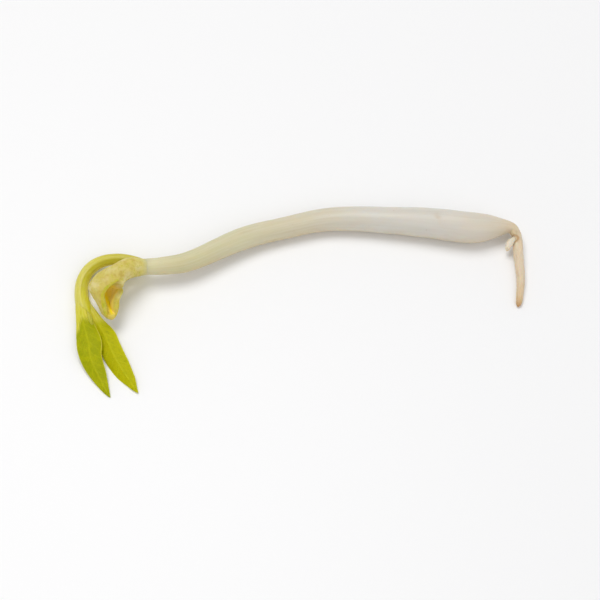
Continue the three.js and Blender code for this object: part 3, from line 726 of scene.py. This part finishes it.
def make_shoot():
    n = Noise(41)
    w = Sweep(EPICOTYL, 0.09, 72, caps=(0.15, 0.30), soften=0.25)
    c, s_, s, t = np.cos(w.theta), np.sin(w.theta), w.s, w.t
    # a groove runs along the upper side between the two leaf traces; outside it the skin is paler
    d = np.angle(np.exp(1j * (w.theta - 1.80 - 0.10 * n(0, 0, s * 0.5))))
    groove = np.exp(-(d / 0.20) ** 2)
    d2 = np.angle(np.exp(1j * (w.theta - 1.80 - math.pi)))
    groove2 = np.exp(-(d2 / 0.26) ** 2)
    swell = 1 + 0.02 * n(c * 0.6, s_ * 0.6, s * 0.5)
    w.place(w.a * c * swell, w.b * s_ * swell)
    skin = 0.006 * n(c * 7, s_ * 7, s * 0.5) + 0.010 * n(c * 1.6, s_ * 1.6, s * 0.7) + 0.008 * np.cos(8 * w.theta)
    knot = smooth(t, 0.86, 1.0) * 0.03 * n(c * 2.4, s_ * 2.4, s * 2.2)
    w.swell(skin + knot - 0.032 * groove - 0.022 * groove2)
    outer = smooth(-d, 0.0, 0.30) * smooth(d, -2.4, -1.8) * (0.12 + 0.88 * smooth(t, 0.34, 0.58))
    w.mark("ridge", np.clip(outer * (0.75 + 0.3 * n(c * 3, s_ * 3, s)), 0, 1))
    inner = smooth(d, 0.15, 1.0) * (1 - smooth(d, 2.3, 2.9)) * smooth(t, 0.02, 0.15) * (1 - smooth(t, 0.74, 0.90))
    w.mark("inner", 0.9 * inner)
    return build("epicotyl_skin", [w], shoot_skin(), "epicotyl")


WALL = 0.55


def boat(w, wall_at=WALL):
    """A seed leaf's rings: a rounded back, two rims and a creased hollow between them."""
    turn, rim, opened = [w.extra[:, k:k + 1] for k in range(3)]
    opening, half, opened = np.radians(90 + turn), np.radians(90 - rim), np.clip(opened, 0, 1)
    a, b = w.a, w.b
    near, far = opening - half, opening + half
    wall = np.minimum(wall_at, 0.6 * np.minimum(a, b))
    f = w.frac[None, :]
    outer, share = 0.54, 0.07
    edge = share / (1 - outer) * (0.04 + 0.96 * smooth(opened, 0.0, 0.3))
    g = np.clip((f - outer) / (1 - outer), 0, 1)
    q = np.clip((g - edge) / (1 - 2 * edge), 0, 1)
    on = lambda angle, less: ((a - less) * np.cos(angle), (b - less) * np.sin(angle))
    mix = lambda p, r, t: (p[0] + (r[0] - p[0]) * t, p[1] + (r[1] - p[1]) * t)
    back = on(near - 2 * (math.pi - half) * (f / outer), 0)
    lid = mix(mix(on(far, 0), on(near, 0), q), on(far - 2 * half * q, 0), 1 - 0.45 * opened)
    crease = np.exp(-((q - 0.36) / 0.07) ** 2)
    shelf = smooth(q, 0.0, 0.08) * (1 - smooth(q, 0.16, 0.32))
    deep = np.minimum(wall * (1.65 + 0.15 * shelf - 0.35 * crease), 0.84 * np.minimum(a, b))
    inside = mix(lid, on(far - 2 * math.pi + 2 * (math.pi - half) * q, deep), opened)
    k = np.where(g < edge, g / edge, np.where(g > 1 - edge, (1 - g) / edge, 1.0))
    rims = tuple(np.where(g < 0.5, x, y) for x, y in zip(on(far, 0), on(near, 0)))
    lip_line = mix(rims, inside, k)
    over = 0.5 * wall * np.sin(math.pi * k) * (k < 1) * opened
    on_back = f < outer
    u = np.where(on_back, back[0], lip_line[0] + over * np.cos(opening))
    v = np.where(on_back, back[1], lip_line[1] + over * np.sin(opening))
    hollow = np.where(on_back, 0.0, smooth(k, 0.75, 1.0)) * smooth(opened, 0.25, 0.8) * np.ones_like(a)
    far_side = np.where(on_back, f > outer / 2, g < 0.5)
    lip = np.where(on_back, np.exp(-(np.minimum(f, outer - f) / 0.009) ** 2), np.exp(-(np.minimum(g, 1 - g) * (1 - outer) / 0.085) ** 2)) * smooth(opened, 0.05, 0.5)
    lip = lip * np.where(far_side, 0.30, 0.85)
    moss = 0.35 * smooth(q, 0.40, 0.50) * hollow
    # the last mask marks the strip along the crease where the hollow's deepest shade falls; the seed-leaf material
    # paints it brighter there as painted light
    return u, v, hollow, np.maximum(lip, moss), np.clip(1.15 * np.exp(-((q - 0.37) / 0.14) ** 2), 0, 1) * hollow


def make_seed_leaf(name, rows, node, seed, wall=WALL):
    n = Noise(seed)
    w = Sweep(rows, 0.08, 150, caps=(0.15, 0.06), soften=0.2, reach=2.2)
    u, v, hollow, lip, crease = boat(w, wall)
    w.place(u, v)
    p = w.points
    x, y, z = p[..., 0], p[..., 1], p[..., 2]
    soft = 0.05 * n(x * 0.8, y * 0.8, z * 0.8) + 0.030 * n(x * 1.9, y * 1.9, z * 1.9)
    fine = 0.014 * n.fbm(x * 4.5, y * 4.5, z * 4.5, 3)
    lines = 0.012 * n(u * 3.2, v * 3.2, w.s * 0.5)
    taper = np.minimum(1, w.b / 0.7) * smooth(w.t, 0.02, 0.26)
    calm = 1 - 1.0 * np.clip(lip / 0.3, 0, 1)
    w.swell((soft + fine + lines) * taper * calm * (1 - 0.5 * hollow))
    w.mark("hollow", hollow * np.clip(0.92 + 0.25 * n(x * 2, y * 2, z * 2), 0, 1))
    # the crease strip: painted light against the shade in the crease
    w.mark("crease", crease)
    w.mark("lip", np.clip(lip * (0.75 + 0.5 * n(x * 1.6, y * 1.6, z * 1.6)), 0, 1))
    return build(name, [w], SEED_SKIN, node)


def make_leaf(name, rows, node, seed, cup, fold, wave, tint):
    n = Noise(seed)
    w = Sweep(rows, 0.07, 168, caps=(0.10, 0.05), soften=0.15)
    th, s, t, a, b = w.theta, w.s, w.t, w.a, w.b
    c, s_ = np.cos(th), np.sin(th)
    u = a * c
    top = s_ > 0
    broad = smooth(a / np.maximum(b, 1e-6), 1.8, 4.0)
    x = c
    thick = b * (np.abs(s_) ** 0.55) * (1 - 0.25 * broad * (1 - x**2))
    v = np.sign(s_) * thick
    v = v - broad * cup * a * x**2 - broad * fold * a * np.abs(x) * (1 - np.exp(-(np.abs(u) / 0.35) ** 2))
    v = v + broad * wave * a * x * np.abs(x) * np.sin(s * 1.15 + np.where(c > 0, 0.4, 2.2)) + broad * 0.04 * np.sin(s * 0.9 + 1) * a
    # midrib and side veins stand out below... the blade's outer face, and sink in on its inner face
    blade_s = s - 2.4
    midrib = np.exp(-(u / (0.10 + 0.06 * (1 - t))) ** 2)
    phase = (blade_s - np.abs(u) * 1.25 + 0.10 * u**2) / 1.30 + np.where(c > 0, 0.0, 0.46) + 0.06 * n(u * 1.5, 0 * s, s * 0.7)
    fr = phase - np.floor(phase)
    side = np.exp(-(np.abs(fr - 0.5) / 0.075) ** 2) * smooth(np.abs(x), 0.03, 0.12) * (1 - smooth(np.abs(x), 0.70, 0.97)) * smooth(blade_s, 0.2, 1.4)
    vein = broad * (0.085 * midrib * (1 - 0.5 * t) + 0.026 * side)
    quilt = broad * 0.030 * (1 - smooth(np.abs(fr - 0.5), 0.0, 0.5)) * (1 - x**4)
    v = v + np.where(top, vein - quilt * 0.5, vein * 0.55 - quilt * 0.5) * np.minimum(1, np.abs(s_) * 3)
    w.place(u, v)
    w.swell(0.010 * n(u * 2.2, s * 2.2, v * 2) + 0.006 * n(u * 6, s * 6, v * 3))
    w.mark("vein", np.clip(broad * (0.40 * midrib + 0.22 * side), 0, 1))
    ragged = t + 0.035 * n(u * 1.6, 3 + 0 * s, s * 0.3) - 0.04 * np.abs(x) - 0.07 * np.maximum(x, 0)
    w.mark("blade", smooth(ragged + 0.02 * n(u * 7, 0 * s, s * 0.6), 0.175, 0.265))
    w.mark("margin", broad * smooth(np.abs(x), 0.90, 0.995) * (0.85 + 0.2 * n(u, s, v)))
    w.mark("tint", tint)
    return build(name, [w], LEAF_SKIN, node)


def make_bud():
    n = Noise(71)
    w = Sweep(BUD, 0.03, 48, caps=(0.08, 0.05))
    c, s_, s = np.cos(w.theta), np.sin(w.theta), w.s
    w.place(w.a * c, w.b * s_)
    w.swell(0.030 * np.abs(np.cos(1.5 * w.theta + 0.8 * s)) - 0.02 + 0.010 * n(c * 4, s_ * 4, s * 4))
    return build("shoot_tip_bud_skin", [w], bud_skin(), "shoot_tip_bud")


SEED_SKIN = seed_leaf_skin()
LEAF_SKIN = leaf_skin()

make_stem()
make_root()
make_rootlet()
make_shoot()
make_seed_leaf("cotyledon_upper_skin", COTYLEDON_UPPER, "cotyledon_upper", 51)
make_seed_leaf("cotyledon_lower_skin", COTYLEDON_LOWER, "cotyledon_lower", 57, 0.42)
make_leaf("first_leaf_left_skin", LEAF_LEFT, "first_leaf_left", 61, 0.12, 0.06, 0.05, 0.0)
make_leaf("first_leaf_right_skin", LEAF_RIGHT, "first_leaf_right", 67, 0.12, 0.06, 0.05, 1.0)
make_bud()


# ------------------------------------------------------------------------------------------------------------------
# Surface, light and camera
# ------------------------------------------------------------------------------------------------------------------
def make_floor():
    mesh = bpy.data.meshes.new("floor")
    r = 3.0
    mesh.from_pydata([(-r, -r, 0), (r, -r, 0), (r, r, 0), (-r, r, 0)], [], [(0, 1, 2, 3)])
    m = bpy.data.materials.new("floor")
    m.use_nodes = True
    s = m.node_tree.nodes["Principled BSDF"]
    s.inputs["Base Color"].default_value = (0.955, 0.955, 0.96, 1)
    s.inputs["Roughness"].default_value = 0.38
    s.inputs["IOR"].default_value = 1.4
    # the far part of the floor is given a faint glow of its own, so that in low views it isn't darker than the wall
    t = m.node_tree
    where = t.nodes.new("ShaderNodeTexCoord")
    reach = t.nodes.new("ShaderNodeVectorMath")
    reach.operation = "LENGTH"
    glow = t.nodes.new("ShaderNodeMapRange")
    glow.interpolation_type = "SMOOTHSTEP"
    for socket, value in (("From Min", 0.15), ("From Max", 1.3), ("To Min", 0.0), ("To Max", 0.16)):
        glow.inputs[socket].default_value = value
    t.links.new(where.outputs["Object"], reach.inputs[0])
    t.links.new(reach.outputs["Value"], glow.inputs["Value"])
    t.links.new(glow.outputs[0], s.inputs["Emission Strength"])
    s.inputs["Emission Color"].default_value = (1, 1, 1, 1)
    mesh.materials.append(m)
    floor = bpy.data.objects.new("floor", mesh)
    bpy.context.scene.collection.objects.link(floor)
    return floor


def area(name, place, target, size, power, colour=(1, 1, 1)):
    d = bpy.data.lights.new(name, "AREA")
    d.shape = "DISK"
    d.size = size
    d.energy = power
    d.color = colour
    o = bpy.data.objects.new(name, d)
    bpy.context.scene.collection.objects.link(o)
    o.location = place
    from mathutils import Vector
    o.rotation_mode = "QUATERNION"
    o.rotation_quaternion = (Vector(target) - Vector(place)).to_track_quat("-Z", "Y")
    return o


make_floor()
area("key", (-0.14, 0.18, 0.58), (0, 0, 0), 0.42, 1.8, (1.0, 0.99, 0.97))
area("fill", (0.30, -0.42, 0.50), (0, 0, 0), 0.55, 1.0, (0.98, 0.985, 1.0))

world = bpy.data.worlds.new("studio")
bpy.context.scene.world = world
world.use_nodes = True
world.node_tree.nodes["Background"].inputs["Color"].default_value = (0.985, 0.99, 1.0, 1)
# the studio's walls are brighter than its ceiling
wt = world.node_tree
where = wt.nodes.new("ShaderNodeTexCoord")
height = wt.nodes.new("ShaderNodeSeparateXYZ")
walls = wt.nodes.new("ShaderNodeMapRange")
for socket, value in (("From Min", 0.0), ("From Max", 0.45), ("To Min", 0.88), ("To Max", 0.45)):
    walls.inputs[socket].default_value = value
wt.links.new(where.outputs["Generated"], height.inputs[0])
wt.links.new(height.outputs["Z"], walls.inputs["Value"])
wt.links.new(walls.outputs[0], wt.nodes["Background"].inputs["Strength"])

ELEVATION, LENS, DISTANCE = math.radians(60.0), 100.0, 0.200
target = (SHIFT + np.array([0, 0, 1.5])) * MM
back = np.array([0, -math.cos(ELEVATION), math.sin(ELEVATION)])
cam_data = bpy.data.cameras.new("camera")
cam_data.lens, cam_data.sensor_width = LENS, 36.0
cam_data.clip_start, cam_data.clip_end = 0.005, 20.0
camera = bpy.data.objects.new("camera", cam_data)
bpy.context.scene.collection.objects.link(camera)
camera.location = target + back * DISTANCE
camera.rotation_euler = (math.pi / 2 - ELEVATION, 0, 0)
bpy.context.scene.camera = camera
bpy.context.scene.view_settings.view_transform = "Standard"
